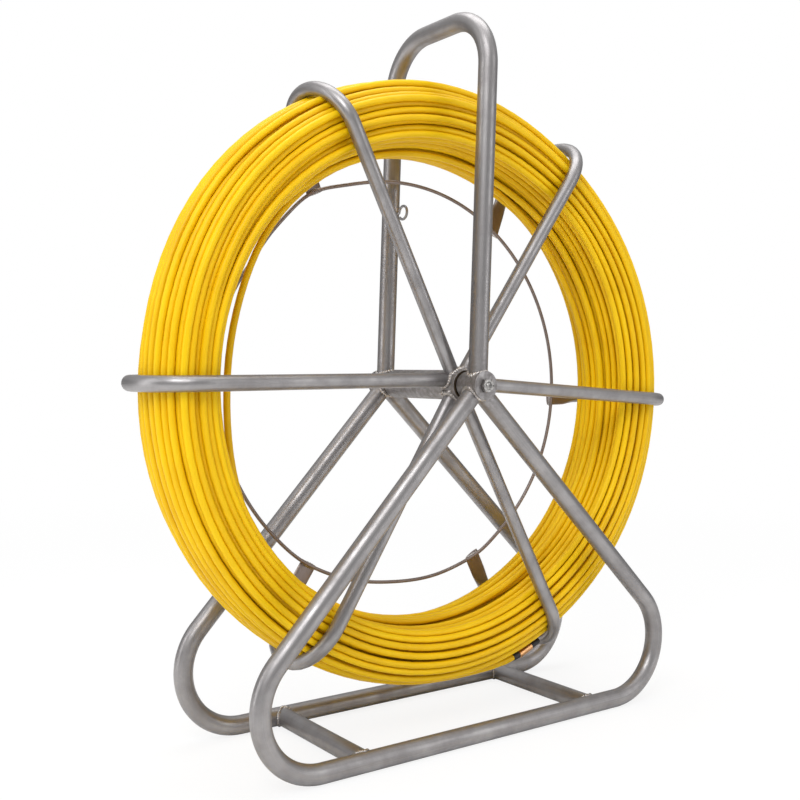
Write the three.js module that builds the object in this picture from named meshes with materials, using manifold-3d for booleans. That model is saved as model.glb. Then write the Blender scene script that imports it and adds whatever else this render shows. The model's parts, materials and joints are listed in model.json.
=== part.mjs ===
// Fish tape reel: a coil of glass fibre rod on a spoked reel that spins in a stand of bent tube.
// Millimetres, +Z up, the reel's axis along Y, the origin on the floor under the middle of the axis.
import * as THREE from "three";
import { mergeVertices } from "three/addons/utils/BufferGeometryUtils.js";
import Module from "manifold-3d";

const wasm = await Module();
wasm.setup();

// Driving dimensions: the reel.
const reelRadius = 343.5; // axis to the outside of the spoke loops
const spokeDiameter = 15;
const spokeAngles = [-4, 55.2, 117.6, 180.5, 237.3, 297.7]; // degrees; the loops were set by eye
const spokeSlope = 4; // the front arms lean out by this much from the hub to their bend
const bendDepth = 50; // of the loops' outer ends, measured along the radius
const frontClearance = 12.5; // between the loops and the front side frame
const rearClearance = 8; // between the loops and the rear side frame
const tabInset = 2; // the rear arms lean in by this much from their bend to the ring
const tabWidth = 20;
const tabThickness = 5;
const tabLength = 26; // the hammered end of a rear arm
const tabOverhang = 3; // how far the tab passes the ring
const ringWire = 4;
const ringInset = 26.5; // between the coil's inside and the ring's centre line
const coilSlack = 3; // between the coil and the loops' outer ends
const coilDepth = 72; // outside radius less inside radius
const coilSideSlack = 2.7; // between the coil's sides and the loops' arms
const coilSquareness = 2.2; // 2 is a round section, more is squarer

// Driving dimensions: the rod's end fitting.
const ferruleDiameter = 9;
const ferruleLength = 20;
const threadDiameter = 5;
const threadLength = 14; // what the cap and the ferrule hold between them
const capDiameter = 8;
const capLength = 13;
const ferruleNeck = 0.8; // the ferrule's end on the rod, as a share of its diameter
const ferruleTaper = 1.5;
const capTaper = 2;
const fittingTurn = 5.1; // degrees from the lowest right loop to the fitting's middle
const fittingFront = 27.2; // from the coil's middle plane towards the front
const fittingSink = 2; // it lies this much deeper than the coil's outermost turns, on its rounded side

// Driving dimensions: the stand.
const tubeDiameter = 20;
const frameSpacing = 166; // between the two side frames' centre planes
const floorClearance = 28; // under the turning loops
const baseCorner = 352; // from the base's middle to where the lines of leg and rail meet
const baseOffset = 16; // of the base's middle from the axis
const baseBend = 65; // centre line radius of the bends between legs and rails
const legDrop = 2; // the legs' lines meet this far under the axis
const crossTubeInset = 40; // from the shorter rail's end to a cross tube's centre
const handGap = 32; // from the loops to the underside of the handle
const handleBend = 56;
const handleLean = 2; // degrees
const eyeWire = 3;
const eyeDiameter = 18;
const eyeStem = 7;
const eyeInset = 33; // from the ring to the eye, along the upright

// Driving dimensions: the axle and what sits on it.
const axleDiameter = 8;
const sleeveWall = 4; // a sleeve is this much bigger all round than a frame tube
const sleeveInward = 8; // from a frame tube's inner side towards the reel
const sleeveOutward = 1; // past a frame tube's outer side
const washerRim = 1; // an end washer stands out this much round its sleeve
const washerThickness = 2.5;
const nutWall = 2.5; // from the axle's thread to a nut's flats
const nutHeight = 4;
const nutChamfer = 0.8;
const axleEnd = 1; // what shows past a nut
const hubWall = 3;
const bushLength = 16;
const bushFlange = 1.5;

// Clearances and fineness.
const gap = 0.3; // between pieces that touch
const runningGap = 0.1; // all round, between the axle and the bores on it
const tubeSides = 16;
const spokeSides = 12;
const wireSides = 8;
const roundSides = 32;
const bendSteps = 10;
const ringSegments = 64;

// Sizes that follow.
const tubeRadius = tubeDiameter / 2;
const spokeRadius = spokeDiameter / 2;
const hubHeight = reelRadius + floorClearance;
const framePlane = frameSpacing / 2;
const railHeight = tubeRadius * Math.cos(Math.PI / tubeSides); // a flat of the tube lies on the floor
const frameInside = framePlane - tubeRadius;
const loopFront = -(frameInside - frontClearance - spokeRadius);
const loopRear = frameInside - rearClearance - spokeRadius;
const loopMiddle = (loopFront + loopRear) / 2;
const bendStart = reelRadius - spokeRadius - bendDepth;
const spokeGaps = spokeAngles.map((angle, i) => (angle - spokeAngles.at(i - 1) + 360) % 360);
const closestGap = THREE.MathUtils.degToRad(Math.min(...spokeGaps));
const hubDiameter = spokeDiameter / Math.sin(closestGap / 2); // the closest two arms just fit on it
const coilOuter = reelRadius - spokeDiameter - coilSlack;
const coilInner = coilOuter - coilDepth;
const coilHalfWidth = (loopRear - loopFront) / 2 - spokeRadius - coilSideSlack;
const ringRadius = coilInner - ringInset;
const tabPlane = loopRear - tabInset;
const ringPlane = tabPlane - tabThickness / 2 - ringWire / 2 - gap;
const sleeveDiameter = tubeDiameter + 2 * sleeveWall;
const sleeveInner = framePlane - tubeRadius - sleeveInward;
const sleeveOuter = framePlane + tubeRadius + sleeveOutward;
const washerDiameter = sleeveDiameter + 2 * washerRim;
const washerStart = sleeveOuter + gap;
const nutStart = washerStart + washerThickness + gap;
const nutAcrossFlats = axleDiameter + 2 * nutWall;
const axleReach = nutStart + nutHeight + axleEnd;
const axleBore = axleDiameter + 2 * runningGap;
const hubBore = hubDiameter - 2 * hubWall;
const hubReach = sleeveInner - bushFlange - 2 * gap;
const handleTop = hubHeight + reelRadius + handGap + tubeRadius;
const handleRise = handleTop - hubHeight;

// A path of straight stretches and bends, given by its stations: a point and a direction each.
// The sweep takes one section at every station, so straight stretches cost nothing.
class StationPath extends THREE.Curve {
  constructor(stations) {
    super();
    this.stations = stations;
  }
  get steps() {
    return this.stations.length - 1;
  }
  stationAt(share) {
    return this.stations[Math.round(share * this.steps)];
  }
  getPointAt(share, target = new THREE.Vector3()) {
    return target.copy(this.stationAt(share).point);
  }
  getTangentAt(share, target = new THREE.Vector3()) {
    return target.copy(this.stationAt(share).direction);
  }
}

// Stations of a line through the given corners, each inner corner rounded to one bend radius.
function roundedPath(corners, bendRadius) {
  const headings = corners.slice(1).map((corner, i) => corner.clone().sub(corners[i]).normalize());
  const stations = [{ point: corners[0], direction: headings[0] }];
  for (let i = 1; i < corners.length - 1; i += 1) {
    const before = headings[i - 1];
    const after = headings[i];
    const turn = before.angleTo(after);
    const start = corners[i].clone().addScaledVector(before, -bendRadius * Math.tan(turn / 2));
    const inward = after.clone().addScaledVector(before, -after.dot(before)).normalize();
    for (let step = 0; step <= bendSteps; step += 1) {
      const angle = (turn * step) / bendSteps;
      const point = start
        .clone()
        .addScaledVector(before, bendRadius * Math.sin(angle))
        .addScaledVector(inward, bendRadius * (1 - Math.cos(angle)));
      const direction = before.clone().multiplyScalar(Math.cos(angle)).addScaledVector(inward, Math.sin(angle));
      stations.push({ point, direction });
    }
  }
  stations.push({ point: corners.at(-1), direction: headings.at(-1) });
  return stations;
}

// A round bar along a path; a flat of its section faces each way across the path's plane.
function bentBar(stations, diameter, sides) {
  const section = [];
  for (let side = 0; side < sides; side += 1) {
    const angle = ((side + 0.5) / sides) * 2 * Math.PI;
    section.push(new THREE.Vector2(Math.cos(angle), Math.sin(angle)).multiplyScalar(diameter / 2));
  }
  const path = new StationPath(stations);
  return new THREE.ExtrudeGeometry(new THREE.Shape(section), { extrudePath: path, steps: path.steps });
}

// A solid turned about the Y axis from a closed outline of [radius, along] points.
function turned(outline, segments = roundSides) {
  const points = outline.map(([radius, along]) => new THREE.Vector2(radius, along));
  return new THREE.LatheGeometry([...points, points[0]], segments);
}

function sleeveBetween(bore, outside, start, end) {
  return turned([
    [bore / 2, start],
    [outside / 2, start],
    [outside / 2, end],
    [bore / 2, end],
  ]);
}

// A cylinder along Y, from one place to another.
function roundBar(diameter, start, end) {
  const bar = new THREE.CylinderGeometry(diameter / 2, diameter / 2, end - start, roundSides);
  return bar.translate(0, (start + end) / 2, 0);
}

function solidFrom(geometry) {
  const bare = geometry.clone();
  bare.deleteAttribute("normal");
  bare.deleteAttribute("uv");
  const merged = mergeVertices(bare, 1e-4);
  const vertProperties = new Float32Array(merged.attributes.position.array);
  const triVerts = new Uint32Array(merged.index.array);
  return new wasm.Manifold(new wasm.Mesh({ numProp: 3, vertProperties, triVerts }));
}

function geometryFrom(solid) {
  const mesh = solid.getMesh();
  const geometry = new THREE.BufferGeometry();
  geometry.setAttribute("position", new THREE.BufferAttribute(mesh.vertProperties, 3));
  geometry.setIndex(new THREE.BufferAttribute(mesh.triVerts, 1));
  geometry.computeVertexNormals();
  return geometry;
}

function cutAway(geometry, ...cutters) {
  const left = cutters.reduce((solid, cutter) => solid.subtract(solidFrom(cutter)), solidFrom(geometry));
  return geometryFrom(left);
}

const satinSteel = { color: 0xa9a7a6, roughness: 0.42, metalness: 0.9 };
const finishes = {
  satinSteel,
  zincPlate: { color: 0xc9c8c4, roughness: 0.3, metalness: 1 },
  bronze: { color: 0xb08a4e, roughness: 0.45, metalness: 1 },
  yellowRod: { color: 0xf0c40f, roughness: 0.38, metalness: 0 },
  brass: { color: 0xb98848, roughness: 0.3, metalness: 1 },
  blackRubber: { color: 0x1d1c1b, roughness: 0.6, metalness: 0 },
};

function piece(name, geometry, finish) {
  const mesh = new THREE.Mesh(geometry, new THREE.MeshStandardMaterial(finishes[finish]));
  mesh.name = name;
  return mesh;
}

// The space that a hub sleeve needs where tubes are coped round it.
function sleeveSpace(side) {
  const middle = side * framePlane;
  return roundBar(sleeveDiameter + 2 * gap, middle - 2 * tubeDiameter, middle + 2 * tubeDiameter);
}

// One half of a side frame, from the hub down a leg, round the bend and along the rail to its middle.
function frameHalf(side, left) {
  const y = side * framePlane;
  const corners = [
    new THREE.Vector3(0, y, -legDrop),
    new THREE.Vector3(baseOffset + left * baseCorner, y, railHeight - hubHeight),
    new THREE.Vector3(baseOffset, y, railHeight - hubHeight),
  ];
  return solidFrom(bentBar(roundedPath(corners, baseBend), tubeDiameter, tubeSides));
}

// The two legs, the bends and the bottom rail, about the axle's height.
function sideFrame(side) {
  const whole = frameHalf(side, -1).add(frameHalf(side, 1));
  return geometryFrom(whole.subtract(solidFrom(sleeveSpace(side))));
}

// How far a straight rail reaches from the base's middle, on its shorter side.
function railReach() {
  const reaches = [-1, 1].map((left) => {
    const run = Math.abs(baseOffset + left * baseCorner);
    const corner = Math.atan2(hubHeight - legDrop - railHeight, run);
    return baseCorner - baseBend / Math.tan(corner / 2);
  });
  return Math.min(...reaches);
}

function crossTube() {
  const ends = [-1, 1].map((side) => new THREE.Vector3(0, side * framePlane, 0));
  const bar = bentBar(roundedPath(ends, 0), tubeDiameter, tubeSides);
  const railSpaces = [-1, 1].map((side) => {
    const half = new THREE.Vector3(2 * tubeDiameter, 0, 0);
    const rail = [half.clone().negate(), half].map((end) => end.setY(side * framePlane));
    return bentBar(roundedPath(rail, 0), tubeDiameter + 2 * gap, tubeSides);
  });
  return cutAway(bar, ...railSpaces);
}

function carryHandle() {
  const corners = [
    new THREE.Vector3(0, -framePlane, 0),
    new THREE.Vector3(0, -framePlane, handleRise),
    new THREE.Vector3(0, framePlane, handleRise),
    new THREE.Vector3(0, framePlane, 0),
  ];
  const bar = bentBar(roundedPath(corners, handleBend), tubeDiameter, tubeSides);
  return cutAway(bar, sleeveSpace(-1), sleeveSpace(1));
}

// A wire eye on a short stem, open where the wire comes round to the stem again.
function guideEye() {
  const radius = (eyeDiameter - eyeWire) / 2;
  const stemRoot = frameInside - gap;
  const eyeMiddle = stemRoot - eyeStem - radius;
  const turnSteps = 16;
  const openTurn = Math.PI / 4;
  const stations = [
    { point: new THREE.Vector3(0, stemRoot, 0), direction: new THREE.Vector3(0, -1, 0) },
    { point: new THREE.Vector3(0, stemRoot - eyeStem, 0), direction: new THREE.Vector3(0, -1, 0) },
  ];
  for (let step = 1; step <= turnSteps; step += 1) {
    const angle = ((2 * Math.PI - openTurn) * step) / turnSteps;
    const point = new THREE.Vector3(0, eyeMiddle + radius * Math.cos(angle), radius * Math.sin(angle));
    const direction = new THREE.Vector3(0, -Math.sin(angle), Math.cos(angle));
    stations.push({ point, direction });
  }
  return bentBar(stations, eyeWire, wireSides);
}

function nut() {
  const corners = [];
  for (let corner = 0; corner < 6; corner += 1) {
    const angle = (corner * Math.PI) / 3;
    const reach = nutAcrossFlats / 2 / Math.cos(Math.PI / 6);
    corners.push(new THREE.Vector2(reach * Math.cos(angle), reach * Math.sin(angle)));
  }
  const outline = new THREE.Shape(corners);
  outline.holes.push(new THREE.Path().absarc(0, 0, axleDiameter / 2 + gap, 0, 2 * Math.PI, true));
  const body = new THREE.ExtrudeGeometry(outline, { depth: nutHeight, bevelEnabled: false, curveSegments: 16 });
  body.rotateX(-Math.PI / 2);
  const reach = nutAcrossFlats / Math.sqrt(3) + gap;
  const rounded = turned([
    [0, -gap],
    [nutAcrossFlats / 2, -gap],
    [nutAcrossFlats / 2, 0],
    [reach, nutChamfer],
    [reach, nutHeight - nutChamfer],
    [nutAcrossFlats / 2, nutHeight],
    [nutAcrossFlats / 2, nutHeight + gap],
    [0, nutHeight + gap],
  ]);
  return geometryFrom(solidFrom(body).intersect(solidFrom(rounded)));
}

// Stations of one spoke loop in its own plane, X along the radius and Y along the axle.
function loopStations() {
  const hubEnd = new THREE.Vector3(hubDiameter / 4, loopFront + spokeSlope, 0);
  const frontBend = new THREE.Vector3(bendStart, loopFront, 0);
  const rearBend = new THREE.Vector3(bendStart, loopRear, 0);
  const innerEnd = new THREE.Vector3(ringRadius - tabOverhang, tabPlane, 0);
  const out = frontBend.clone().sub(hubEnd).normalize();
  const back = innerEnd.clone().sub(rearBend).normalize();
  const stations = [{ point: hubEnd, direction: out }];
  const halfWidth = (loopRear - loopFront) / 2;
  const steps = 2 * bendSteps;
  for (let step = 0; step <= steps; step += 1) {
    const angle = (Math.PI * step) / steps;
    const sideways = loopMiddle - halfWidth * Math.cos(angle);
    const point = new THREE.Vector3(bendStart + bendDepth * Math.sin(angle), sideways, 0);
    const direction = new THREE.Vector3(bendDepth * Math.cos(angle), halfWidth * Math.sin(angle), 0);
    stations.push({ point, direction: direction.normalize() });
  }
  const tabStations = [2, 1.6, 1.3, 1, 0];
  tabStations.forEach((share) => {
    const point = innerEnd.clone().addScaledVector(back, -share * tabLength);
    stations.push({ point, direction: back });
  });
  return stations;
}

// The rear arm's inner end is hammered flat: round at twice the tab's length, flat from its length on.
function hammerTab(geometry) {
  const position = geometry.getAttribute("position");
  const innerEnd = ringRadius - tabOverhang;
  const slope = tabInset / (bendStart - innerEnd);
  for (let i = 0; i < position.count; i += 1) {
    const radius = position.getX(i);
    if (position.getY(i) < loopMiddle) continue;
    const share = THREE.MathUtils.clamp(2 - (radius - innerEnd) / tabLength, 0, 1);
    const flat = THREE.MathUtils.smoothstep(share, 0, 1);
    const middle = tabPlane + slope * (radius - innerEnd);
    const thin = THREE.MathUtils.lerp(1, tabThickness / spokeDiameter, flat);
    const wide = THREE.MathUtils.lerp(1, tabWidth / spokeDiameter, flat);
    position.setY(i, middle + (position.getY(i) - middle) * thin);
    position.setZ(i, position.getZ(i) * wide);
  }
  return geometry;
}

// Front arm, round end and rear arm in one bar, coped where it meets the hub.
function spokeLoop() {
  const bar = bentBar(loopStations(), spokeDiameter, spokeSides);
  bar.deleteAttribute("normal");
  const start = 2 * loopFront;
  return cutAway(hammerTab(bar), roundBar(hubDiameter + 2 * gap, start, 0));
}

// The coil's outer shape: a ring whose section is a rounded rectangle by a power formula.
function coilShape() {
  const middle = (coilOuter + coilInner) / 2;
  const outline = [];
  const points = 20;
  for (let i = 0; i < points; i += 1) {
    const angle = (2 * Math.PI * i) / points;
    const [across, along] = [Math.cos(angle), Math.sin(angle)].map((part) => {
      return Math.sign(part) * Math.abs(part) ** (2 / coilSquareness);
    });
    outline.push([middle + (across * coilDepth) / 2, loopMiddle + along * coilHalfWidth]);
  }
  return turned(outline, ringSegments);
}

function wireRing() {
  const outline = [];
  for (let side = 0; side < wireSides; side += 1) {
    const angle = ((side + 0.5) / wireSides) * 2 * Math.PI;
    const reach = ringWire / 2;
    outline.push([ringRadius + reach * Math.cos(angle), ringPlane + reach * Math.sin(angle)]);
  }
  return turned(outline, ringSegments);
}

// A flanged bush for the front end of the hub, its flange against the sleeve.
function hubBush() {
  const bodyRadius = hubBore / 2 - gap;
  const flangeFace = -(hubReach + gap + bushFlange);
  return turned([
    [axleBore / 2, flangeFace],
    [hubDiameter / 2 - gap, flangeFace],
    [hubDiameter / 2 - gap, flangeFace + bushFlange],
    [bodyRadius, flangeFace + bushFlange],
    [bodyRadius, bushLength - hubReach],
    [axleBore / 2, bushLength - hubReach],
  ]);
}

function ferrule() {
  const half = ferruleLength / 2;
  const neck = ferruleNeck * ferruleDiameter;
  const boreRadius = threadDiameter / 2 + gap;
  const boreDepth = threadLength / 2;
  return turned([
    [0, -half],
    [neck / 2, -half],
    [ferruleDiameter / 2, ferruleTaper - half],
    [ferruleDiameter / 2, half],
    [boreRadius, half],
    [boreRadius, half - boreDepth],
    [0, half - boreDepth],
  ]);
}

function fittingCap() {
  const boreRadius = threadDiameter / 2 + gap;
  const boreDepth = threadLength / 2;
  return turned([
    [boreRadius, 0],
    [capDiameter / 2, 0],
    [capDiameter / 2, capLength - capTaper],
    [capDiameter / 2 - capTaper / 2, capLength],
    [0, capLength],
    [0, boreDepth],
    [boreRadius, boreDepth],
  ]);
}

// The stand.
const standTop = new THREE.Group();
standTop.position.set(0, 0, hubHeight);
standTop.add(piece("front_side_frame", sideFrame(-1), "satinSteel"));
standTop.add(piece("rear_side_frame", sideFrame(1), "satinSteel"));
const crossReach = railReach() - crossTubeInset;
[
  ["left_cross_tube", -1],
  ["right_cross_tube", 1],
].forEach(([name, left]) => {
  const tube = piece(name, crossTube(), "satinSteel");
  tube.position.set(baseOffset + left * crossReach, 0, railHeight - hubHeight);
  standTop.add(tube);
});

const leaning = new THREE.Group();
leaning.rotation.y = THREE.MathUtils.degToRad(handleLean);
leaning.add(piece("carry_handle", carryHandle(), "satinSteel"));
const eye = piece("guide_eye", guideEye(), "satinSteel");
eye.position.set(0, 0, ringRadius - eyeInset);
leaning.add(eye);
standTop.add(leaning);

standTop.add(piece("axle_rod", roundBar(axleDiameter, -axleReach, axleReach), "zincPlate"));
[
  ["front", 0],
  ["rear", Math.PI],
].forEach(([end, turn]) => {
  const stack = new THREE.Group();
  stack.rotation.z = turn;
  const sleeve = sleeveBetween(axleBore, sleeveDiameter, -sleeveOuter, -sleeveInner);
  stack.add(piece(`${end}_hub_sleeve`, sleeve, "satinSteel"));
  const washer = sleeveBetween(axleBore, washerDiameter, -(washerStart + washerThickness), -washerStart);
  stack.add(piece(`${end}_end_washer`, washer, "satinSteel"));
  const axleNut = piece(`${end}_axle_nut`, nut(), "zincPlate");
  axleNut.position.y = -(nutStart + nutHeight);
  stack.add(axleNut);
  standTop.add(stack);
});

// The reel, which turns about the axle.
const reel = new THREE.Group();
reel.position.set(0, 0, hubHeight);
reel.add(piece("reel_hub_tube", sleeveBetween(hubBore, hubDiameter, -hubReach, hubReach), "satinSteel"));
[
  ["front_bush", 0],
  ["rear_bush", Math.PI],
].forEach(([name, turn]) => {
  const bush = piece(name, hubBush(), "bronze");
  bush.rotation.z = turn;
  reel.add(bush);
});
spokeAngles.forEach((angle, i) => {
  const loop = piece(`spoke_loop_${i + 1}`, spokeLoop(), "satinSteel");
  loop.rotation.y = -THREE.MathUtils.degToRad(angle);
  reel.add(loop);
});
reel.add(piece("rear_ring", wireRing(), "satinSteel"));
reel.add(piece("rod_coil", coilShape(), "yellowRod"));

// The end of the rod, lying along the outside of the coil just past the lowest right loop.
const fitting = new THREE.Group();
fitting.rotation.y = THREE.MathUtils.degToRad(fittingTurn - spokeAngles.at(-1));
const fittingLine = new THREE.Group();
const fittingRadius = coilOuter - fittingSink + gap + ferruleDiameter / 2;
fittingLine.position.set(fittingRadius, loopMiddle - fittingFront, 0);
fittingLine.rotation.x = Math.PI / 2;
const ferruleMiddle = -(ferruleLength + gap + capLength) / 2 + ferruleLength / 2;
const ferruleEnd = ferruleMiddle + ferruleLength / 2;
const rodFerrule = piece("rod_end_ferrule", ferrule(), "brass");
rodFerrule.position.y = ferruleMiddle;
const halfGripped = threadLength / 2 - gap / 2;
const threadStart = ferruleEnd - halfGripped;
const thread = roundBar(threadDiameter, threadStart, ferruleEnd + gap + halfGripped);
const rodCap = piece("rod_end_cap", fittingCap(), "blackRubber");
rodCap.position.y = ferruleEnd + gap;
fittingLine.add(rodFerrule, piece("rod_end_thread", thread, "zincPlate"), rodCap);
fitting.add(fittingLine);
reel.add(fitting);

const fishTapeReel = new THREE.Group();
fishTapeReel.add(standTop, reel);

export default fishTapeReel;
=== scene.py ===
import json
import math

import bpy
import numpy as np
from mathutils import Matrix, Vector


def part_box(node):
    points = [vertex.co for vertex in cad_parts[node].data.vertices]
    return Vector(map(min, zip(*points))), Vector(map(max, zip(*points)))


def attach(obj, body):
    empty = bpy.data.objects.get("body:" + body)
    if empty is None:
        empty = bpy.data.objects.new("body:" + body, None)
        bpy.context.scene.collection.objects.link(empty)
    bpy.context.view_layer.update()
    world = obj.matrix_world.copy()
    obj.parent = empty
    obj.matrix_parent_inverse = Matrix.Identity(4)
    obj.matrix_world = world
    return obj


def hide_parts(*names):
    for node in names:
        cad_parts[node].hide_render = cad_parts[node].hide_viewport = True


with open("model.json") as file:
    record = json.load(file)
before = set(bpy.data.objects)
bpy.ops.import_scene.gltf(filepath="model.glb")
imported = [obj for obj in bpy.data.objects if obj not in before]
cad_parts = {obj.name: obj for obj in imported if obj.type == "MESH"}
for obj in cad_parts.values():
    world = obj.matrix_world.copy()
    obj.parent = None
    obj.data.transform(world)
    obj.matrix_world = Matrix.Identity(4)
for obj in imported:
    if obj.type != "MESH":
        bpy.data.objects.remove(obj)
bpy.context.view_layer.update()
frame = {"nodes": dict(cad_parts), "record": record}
record = frame["record"]
hub = np.array(record["behaviour"]["joints"][0]["pos_m"], dtype=float)  # the middle of the axle
xAxis, yAxis, zAxis = np.eye(3)
axleFoot = hub * (1.0, 0.0, 1.0)


def nodeBox(name):
    low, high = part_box(name)
    return np.array(low), np.array(high)


camera = {"fromHub": (-0.6993, -0.9216, 0.0181), "turn": 35.64, "tilt": -1.75, "roll": 0.2, "lens": 47.67}


def makeCamera():
    turn, tilt, roll = (math.radians(camera[key]) for key in ("turn", "tilt", "roll"))
    ahead = np.array([math.sin(turn) * math.cos(tilt), math.cos(turn) * math.cos(tilt), math.sin(tilt)])
    level = np.array([math.cos(turn), -math.sin(turn), 0.0])
    upright = np.cross(level, ahead)
    side = math.cos(roll) * level + math.sin(roll) * upright
    top = np.cross(side, ahead)
    data = bpy.data.cameras.new("camera")
    data.lens = camera["lens"]
    data.sensor_width = 36.0
    data.clip_start = 0.05
    body = bpy.data.objects.new("camera", data)
    bpy.context.scene.collection.objects.link(body)
    place = Matrix(np.column_stack([side, top, -ahead]).tolist())
    body.rotation_euler = place.to_euler()
    body.location = hub + np.array(camera["fromHub"])
    bpy.context.scene.camera = body


makeCamera()
bpy.context.scene.view_settings.view_transform = "Standard"

studio = {
    "floorSize": 9.0,
    "floorColor": (0.92, 0.92, 0.92, 1.0),
    "floorGlow": 0.85,  # how far the near floor is lifted to plain white for the camera
    "fadeStart": 0.5,
    "fadeEnd": 2.2,
    "skyTop": (1.0, 1.0, 1.0, 1.0),
    "skySide": (0.10, 0.10, 0.105, 1.0),
    "skyStrength": 0.8,
    "seenSky": (1.0, 1.0, 1.0, 1.0),
    "lights": [  # name, place, size, watts
        ("key", (-1.5, -1.3, 2.1), (1.2, 1.2), 33.0),
        ("fill", (1.3, -1.9, 1.0), (0.7, 1.6), 9.0),
        ("leftStrip", (-1.9, 0.5, 0.9), (0.45, 1.8), 9.0),
        ("top", (0.2, 0.2, 2.4), (1.8, 1.2), 20.0),
    ],
}


# Pale floor paint that fades to plain white with distance, for rays from the camera only.
def makeFloorPaint():
    paint = bpy.data.materials.new("floorPaint")
    paint.use_nodes = True
    tree = paint.node_tree
    surface = tree.nodes["Principled BSDF"]
    surface.inputs["Base Color"].default_value = studio["floorColor"]
    surface.inputs["Roughness"].default_value = 0.9
    place = tree.nodes.new("ShaderNodeTexCoord")
    away = tree.nodes.new("ShaderNodeVectorMath")
    away.operation = "LENGTH"
    fade = tree.nodes.new("ShaderNodeMapRange")
    fade.interpolation_type = "SMOOTHSTEP"
    fade.inputs["From Min"].default_value = studio["fadeStart"]
    fade.inputs["From Max"].default_value = studio["fadeEnd"]
    fade.inputs["To Min"].default_value = studio["floorGlow"]
    path = tree.nodes.new("ShaderNodeLightPath")
    share = tree.nodes.new("ShaderNodeMath")
    share.operation = "MULTIPLY"
    glow = tree.nodes.new("ShaderNodeEmission")
    both = tree.nodes.new("ShaderNodeMixShader")
    tree.links.new(place.outputs["Object"], away.inputs[0])
    tree.links.new(away.outputs["Value"], fade.inputs["Value"])
    tree.links.new(fade.outputs["Result"], share.inputs[0])
    tree.links.new(path.outputs["Is Camera Ray"], share.inputs[1])
    tree.links.new(share.outputs[0], both.inputs["Fac"])
    tree.links.new(surface.outputs[0], both.inputs[1])
    tree.links.new(glow.outputs[0], both.inputs[2])
    tree.links.new(both.outputs[0], tree.nodes["Material Output"].inputs["Surface"])
    return paint


def makeStudio():
    size = studio["floorSize"]
    corners = [(-size, -size, 0), (size, -size, 0), (size, size, 0), (-size, size, 0)]
    mesh = bpy.data.meshes.new("floor")
    mesh.from_pydata(corners, [], [(0, 1, 2, 3)])
    floor = bpy.data.objects.new("floor", mesh)
    bpy.context.scene.collection.objects.link(floor)
    mesh.materials.append(makeFloorPaint())
    for name, place, (wide, tall), watts in studio["lights"]:
        data = bpy.data.lights.new(name, "AREA")
        data.shape = "RECTANGLE"
        data.size, data.size_y, data.energy = wide, tall, watts
        lamp = bpy.data.objects.new(name, data)
        bpy.context.scene.collection.objects.link(lamp)
        lamp.location = place
        aim = np.array(place) - hub
        lamp.rotation_euler = Vector(aim).to_track_quat("Z", "Y").to_euler()
    world = bpy.data.worlds.new("studio")
    bpy.context.scene.world = world
    world.use_nodes = True
    tree = world.node_tree
    tree.nodes.clear()
    place = tree.nodes.new("ShaderNodeTexCoord")
    split = tree.nodes.new("ShaderNodeSeparateXYZ")
    rise = tree.nodes.new("ShaderNodeMapRange")
    rise.inputs["From Min"].default_value = -0.1
    rise.inputs["From Max"].default_value = 0.9
    sky = tree.nodes.new("ShaderNodeMix")
    sky.data_type = "RGBA"
    sky.inputs["A"].default_value = studio["skySide"]
    sky.inputs["B"].default_value = studio["skyTop"]
    around = tree.nodes.new("ShaderNodeBackground")
    around.inputs["Strength"].default_value = studio["skyStrength"]
    seen = tree.nodes.new("ShaderNodeBackground")
    seen.inputs["Color"].default_value = studio["seenSky"]
    path = tree.nodes.new("ShaderNodeLightPath")
    both = tree.nodes.new("ShaderNodeMixShader")
    out = tree.nodes.new("ShaderNodeOutputWorld")
    tree.links.new(place.outputs["Generated"], split.inputs[0])
    tree.links.new(split.outputs["Z"], rise.inputs["Value"])
    tree.links.new(rise.outputs["Result"], sky.inputs["Factor"])
    tree.links.new(sky.outputs["Result"], around.inputs["Color"])
    tree.links.new(path.outputs["Is Camera Ray"], both.inputs["Fac"])
    tree.links.new(around.outputs[0], both.inputs[1])
    tree.links.new(seen.outputs[0], both.inputs[2])
    tree.links.new(both.outputs[0], out.inputs["Surface"])


makeStudio()
print("camera, floor and light made")


def newGroup(name, inputs, outputs):
    group = bpy.data.node_groups.new(name, "ShaderNodeTree")
    kinds = {"number": "NodeSocketFloat", "vector": "NodeSocketVector"}
    for label, kind, value in inputs:
        socket = group.interface.new_socket(name=label, in_out="INPUT", socket_type=kinds[kind])
        if value is not None:
            socket.default_value = value
    for label, kind in outputs:
        group.interface.new_socket(name=label, in_out="OUTPUT", socket_type=kinds[kind])
    return group, group.nodes.new("NodeGroupInput"), group.nodes.new("NodeGroupOutput")


def noise(tree, vector, scale, detail=4.0, roughness=0.55):
    node = tree.nodes.new("ShaderNodeTexNoise")
    node.inputs["Detail"].default_value = detail
    node.inputs["Roughness"].default_value = roughness
    if isinstance(scale, (int, float)):
        node.inputs["Scale"].default_value = scale
    else:
        tree.links.new(scale, node.inputs["Scale"])
    tree.links.new(vector, node.inputs["Vector"])
    return node.outputs["Fac"]


def scaled(tree, vector, factors):
    node = tree.nodes.new("ShaderNodeVectorMath")
    node.operation = "MULTIPLY"
    node.inputs[1].default_value = factors
    tree.links.new(vector, node.inputs[0])
    return node.outputs[0]


def mathOf(tree, operation, first, second, clamp=False):
    node = tree.nodes.new("ShaderNodeMath")
    node.operation = operation
    node.use_clamp = clamp
    for socket, value in zip(node.inputs, (first, second)):
        if isinstance(value, (int, float)):
            socket.default_value = value
        else:
            tree.links.new(value, socket)
    return node.outputs[0]


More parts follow.
